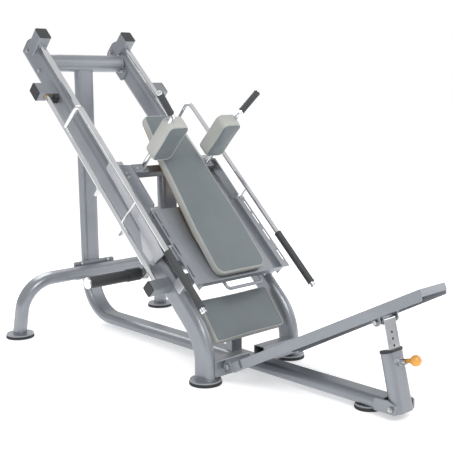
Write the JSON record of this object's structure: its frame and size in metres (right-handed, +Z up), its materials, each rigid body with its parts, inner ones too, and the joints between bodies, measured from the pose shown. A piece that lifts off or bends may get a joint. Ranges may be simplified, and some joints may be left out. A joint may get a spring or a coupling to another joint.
{
  "type": "leg press machine",
  "caption": "Sloping sled gym press with a padded sliding carriage on guide rods, swing-out lock levers, weight horns and a tilting foot plate.",
  "frame": {"origin": "on the floor, midway across the machine and midway along it", "axes": "+Z up, +Y to the raised rear end of the rails, +X across"},
  "size_m": [1.106, 2.2018, 1.483],
  "materials": {
    "frame_paint": "satin metallic",
    "dark_paint": "satin",
    "chrome": "polished",
    "zinc": "zinc plated",
    "rubber": "matt",
    "black_plastic": "matt",
    "pad_vinyl": "grained vinyl",
    "plywood": "lacquered",
    "grip_foam": "ribbed",
    "knob_orange": "gloss",
    "bronze": "oiled",
    "alloy": "anodised"
  },
  "bodies": {
    "frame": {"spine": "frame_paint", "top_crossbar": "frame_paint", "rail_left": "frame_paint", "rail_right": "frame_paint", "rear_stabilizer": "frame_paint", "rubber_feet": "rubber", "tube_end_caps": "black_plastic", "guide_rod_left": "chrome", "guide_rod_right": "chrome", "guide_stubs": "frame_paint", "guide_blocks": "alloy", "carriage_bumpers": "rubber", "upper_lever_brackets": "frame_paint", "lower_lever_brackets": "frame_paint", "lever_bushes": "bronze", "lever_stops": "rubber", "leg_braces": "frame_paint", "plate_hinge_brackets": "dark_paint", "plate_hinge_pins": "zinc", "strut_clevis": "frame_paint", "strut_lower_pin": "zinc", "seat_pad": "pad_vinyl", "seat_board": "plywood", "seat_bracket": "frame_paint", "frame_bolts": "zinc"},
    "carriage": {"bearing_housing_left": "alloy", "bearing_housing_right": "alloy", "linear_bushes": "zinc", "catch_plate_left": "alloy", "catch_plate_right": "alloy", "side_plates": "frame_paint", "carriage_crossbar": "dark_paint", "carriage_post": "frame_paint", "horn_bar": "frame_paint", "horn_sleeves": "black_plastic", "horn_caps": "chrome", "foot_pan": "frame_paint", "pan_handle": "frame_paint", "back_pad": "pad_vinyl", "back_board": "plywood", "shoulder_pad_left": "pad_vinyl", "shoulder_pad_right": "pad_vinyl", "shoulder_post_left": "chrome", "shoulder_post_right": "chrome", "shoulder_grips": "grip_foam", "shoulder_brackets": "frame_paint", "carriage_bolts": "zinc"},
    "lever_arm_left": {"lever_left": "chrome", "lever_grip_left": "grip_foam"},
    "lever_arm_right": {"lever_right": "chrome", "lever_grip_right": "grip_foam"},
    "tilting_plate": {"foot_plate": "frame_paint", "plate_beam_cap": "black_plastic", "strut_upper_pin": "zinc"},
    "sleeve": {"strut_sleeve": "frame_paint", "strut_collar": "black_plastic", "pop_pin_barrel": "zinc"},
    "bar": {"strut_bar": "chrome"},
    "pin": {"pop_pin": "chrome", "pop_knob": "knob_orange"}
  },
  "joints": [
    {"name": "carriage_slide", "type": "slide", "parent": "frame", "child": "carriage", "axis": [0, 0.7157, 0.6984], "range_m": [0, 0.475]},
    {"name": "lever_left_turn", "type": "hinge", "parent": "frame", "child": "lever_arm_left", "pos_m": [-0.33, 0.3019, 0.67848], "axis": [0, -0.7157, -0.6984], "range_deg": [0, 90]},
    {"name": "lever_right_turn", "type": "hinge", "parent": "frame", "child": "lever_arm_right", "pos_m": [0.33, 0.3019, 0.67848], "axis": [0, 0.7157, 0.6984], "range_deg": [0, 90]},
    {"name": "plate_tilt", "type": "hinge", "parent": "frame", "child": "tilting_plate", "pos_m": [0, -0.271, 0.075], "axis": [-1, 0, 0], "range_deg": [-5, 6]},
    {"name": "strut_lean", "type": "hinge", "parent": "frame", "child": "sleeve", "pos_m": [0, -0.974, 0.047], "axis": [-1, 0, 0], "range_deg": [-4, 4]},
    {"name": "strut_extend", "type": "slide", "parent": "sleeve", "child": "bar", "axis": [0, 0.236, 0.9718], "range_m": [-0.08, 0.08]},
    {"name": "pop_pin_pull", "type": "slide", "parent": "sleeve", "child": "pin", "axis": [0, -0.9718, 0.236], "range_m": [0, 0.012], "stiffness_N_per_m": 400, "springref_m": -0.01}
  ],
  "couplings": [
    {"joint": "strut_lean", "follows": "plate_tilt", "ratio": 0.3886},
    {"joint": "strut_extend", "follows": "plate_tilt", "m_per_rad": 0.6754}
  ]
}
